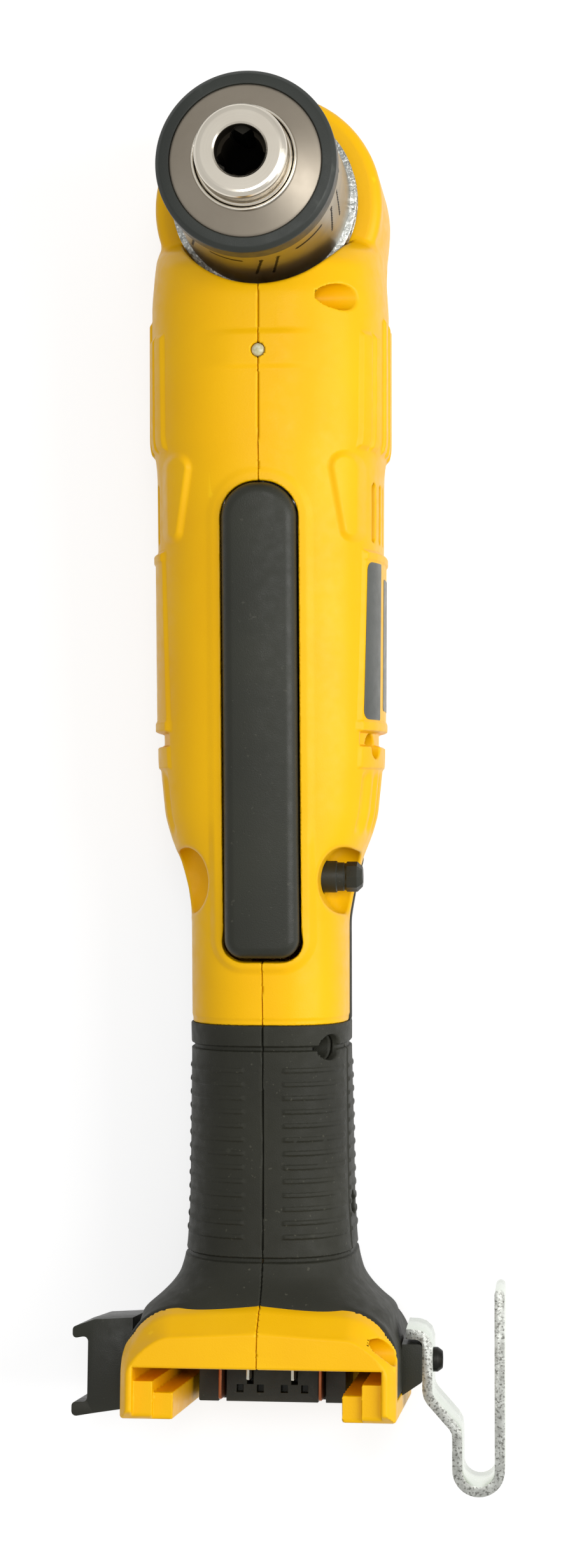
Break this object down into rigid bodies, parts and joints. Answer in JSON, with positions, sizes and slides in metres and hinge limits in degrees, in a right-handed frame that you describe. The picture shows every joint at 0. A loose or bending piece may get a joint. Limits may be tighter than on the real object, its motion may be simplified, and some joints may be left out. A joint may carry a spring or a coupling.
{
  "type": "right angle drill",
  "caption": "Cordless right angle drill with a keyless chuck, long paddle switch, ribbed rubber grip, battery foot with rails, belt hook and bit holder, shown without its battery.",
  "frame": {"origin": "where the chuck axis meets the surface that the drill lies on, on its back", "axes": "+Z along the chuck axis out of the chuck, +Y from the battery foot to the head, +X to the side of the belt hook"},
  "size_m": [0.1122, 0.3666, 0.107],
  "materials": {
    "yellow_housing": "satin",
    "black_rubber": "matte",
    "black_plastic": "satin",
    "chuck_black": "satin",
    "nickel": "satin",
    "dull_nickel": "turned",
    "sleeve_steel": "ground",
    "collar_steel": "knurled",
    "jaw_steel": "ground",
    "gear_steel": "ground",
    "case_aluminium": "cast",
    "magnet": "matte",
    "winding": "satin",
    "contacts": "satin",
    "zinc": "zinc plated",
    "black_screw": "oxide",
    "light_lens": "clear",
    "circuit_board": "satin"
  },
  "bodies": {
    "housing": {"housing_left": "yellow_housing", "housing_right": "yellow_housing", "grip_left": "black_rubber", "grip_right": "black_rubber", "head_bumper": "black_rubber", "terminal_block": "black_plastic", "hook_boss": "black_plastic", "bit_holder": "black_plastic", "switch_module": "black_plastic", "motor_end_cap": "black_plastic", "ring_gear": "gear_steel", "front_bearing": "gear_steel", "rear_bearing": "gear_steel", "pinion_bearing": "gear_steel", "motor_bearings": "gear_steel", "gear_plate": "gear_steel", "paddle_pin": "gear_steel", "motor_can": "gear_steel", "gearcase": "case_aluminium", "motor_magnets": "magnet", "power_leads": "winding", "contact_blades": "contacts", "belt_hook": "zinc", "hook_screw": "black_screw", "bit_holder_screw": "black_screw", "housing_screws": "black_screw", "led_lens": "light_lens", "led_board": "circuit_board"},
    "spindle": {"spindle": "gear_steel", "bevel_gear": "gear_steel", "chuck_nose": "nickel", "chuck_collar": "collar_steel", "chuck_screw": "black_screw"},
    "sleeve": {"chuck_sleeve": "sleeve_steel", "chuck_ring": "chuck_black", "chuck_face": "dull_nickel"},
    "jaw_1": {"jaw_1": "jaw_steel"},
    "jaw_2": {"jaw_2": "jaw_steel"},
    "jaw_3": {"jaw_3": "jaw_steel"},
    "carrier": {"bevel_pinion": "gear_steel", "planet_carrier": "gear_steel"},
    "planet_1": {"planet_1": "gear_steel"},
    "planet_2": {"planet_2": "gear_steel"},
    "planet_3": {"planet_3": "gear_steel"},
    "rotor": {"rotor": "winding", "sun_gear": "gear_steel", "commutator": "winding", "motor_fan": "black_plastic"},
    "paddle": {"paddle": "black_plastic"},
    "plunger": {"switch_plunger": "gear_steel"},
    "direction_button": {"direction_button": "black_plastic"}
  },
  "joints": [
    {"name": "rotor_spin", "type": "hinge", "parent": "housing", "child": "rotor", "pos_m": [0, -0.09, 0.032], "axis": [0, -1, 0], "continuous": true},
    {"name": "carrier_spin", "type": "hinge", "parent": "housing", "child": "carrier", "pos_m": [0, -0.04, 0.032], "axis": [0, -1, 0], "continuous": true},
    {"name": "spindle_spin", "type": "hinge", "parent": "housing", "child": "spindle", "pos_m": [0, 0, 0.04], "axis": [0, 0, 1], "continuous": true},
    {"name": "planet_1_spin", "type": "hinge", "parent": "carrier", "child": "planet_1", "pos_m": [0.01215, -0.051, 0.032], "axis": [0, -1, 0], "continuous": true},
    {"name": "planet_2_spin", "type": "hinge", "parent": "carrier", "child": "planet_2", "pos_m": [-0.00607, -0.051, 0.04252], "axis": [0, -1, 0], "continuous": true},
    {"name": "planet_3_spin", "type": "hinge", "parent": "carrier", "child": "planet_3", "pos_m": [-0.00607, -0.051, 0.02148], "axis": [0, -1, 0], "continuous": true},
    {"name": "sleeve_turn", "type": "hinge", "parent": "spindle", "child": "sleeve", "pos_m": [0, 0, 0.07], "axis": [0, 0, 1], "range_deg": [0, 2880]},
    {"name": "jaw_1_slide", "type": "slide", "parent": "spindle", "child": "jaw_1", "axis": [0, -0.2588, 0.9659], "range_m": [0, 0.01995]},
    {"name": "jaw_2_slide", "type": "slide", "parent": "spindle", "child": "jaw_2", "axis": [0.2241, 0.1294, 0.9659], "range_m": [0, 0.01995]},
    {"name": "jaw_3_slide", "type": "slide", "parent": "spindle", "child": "jaw_3", "axis": [-0.2241, 0.1294, 0.9659], "range_m": [0, 0.01995]},
    {"name": "paddle_press", "type": "hinge", "parent": "housing", "child": "paddle", "pos_m": [0, -0.08, 0.062], "axis": [1, 0, 0], "range_deg": [0, 3.2], "stiffness_Nm_per_rad": 6, "springref_deg": -3.44},
    {"name": "plunger_slide", "type": "slide", "parent": "housing", "child": "plunger", "axis": [0, 0, -1], "range_m": [0, 0.0046]},
    {"name": "direction_slide", "type": "slide", "parent": "housing", "child": "direction_button", "axis": [-1, 0, 0], "range_m": [0, 0.0113]}
  ],
  "couplings": [
    {"joint": "carrier_spin", "follows": "rotor_spin", "ratio": 0.22222},
    {"joint": "spindle_spin", "follows": "rotor_spin", "ratio": 0.090909},
    {"joint": "planet_1_spin", "follows": "rotor_spin", "ratio": -0.62222},
    {"joint": "planet_2_spin", "follows": "rotor_spin", "ratio": -0.62222},
    {"joint": "planet_3_spin", "follows": "rotor_spin", "ratio": -0.62222},
    {"joint": "jaw_1_slide", "follows": "sleeve_turn", "m_per_rad": 0.00039586},
    {"joint": "jaw_2_slide", "follows": "sleeve_turn", "m_per_rad": 0.00039586},
    {"joint": "jaw_3_slide", "follows": "sleeve_turn", "m_per_rad": 0.00039586},
    {"joint": "plunger_slide", "follows": "paddle_press", "m_per_rad": 0.08}
  ]
}
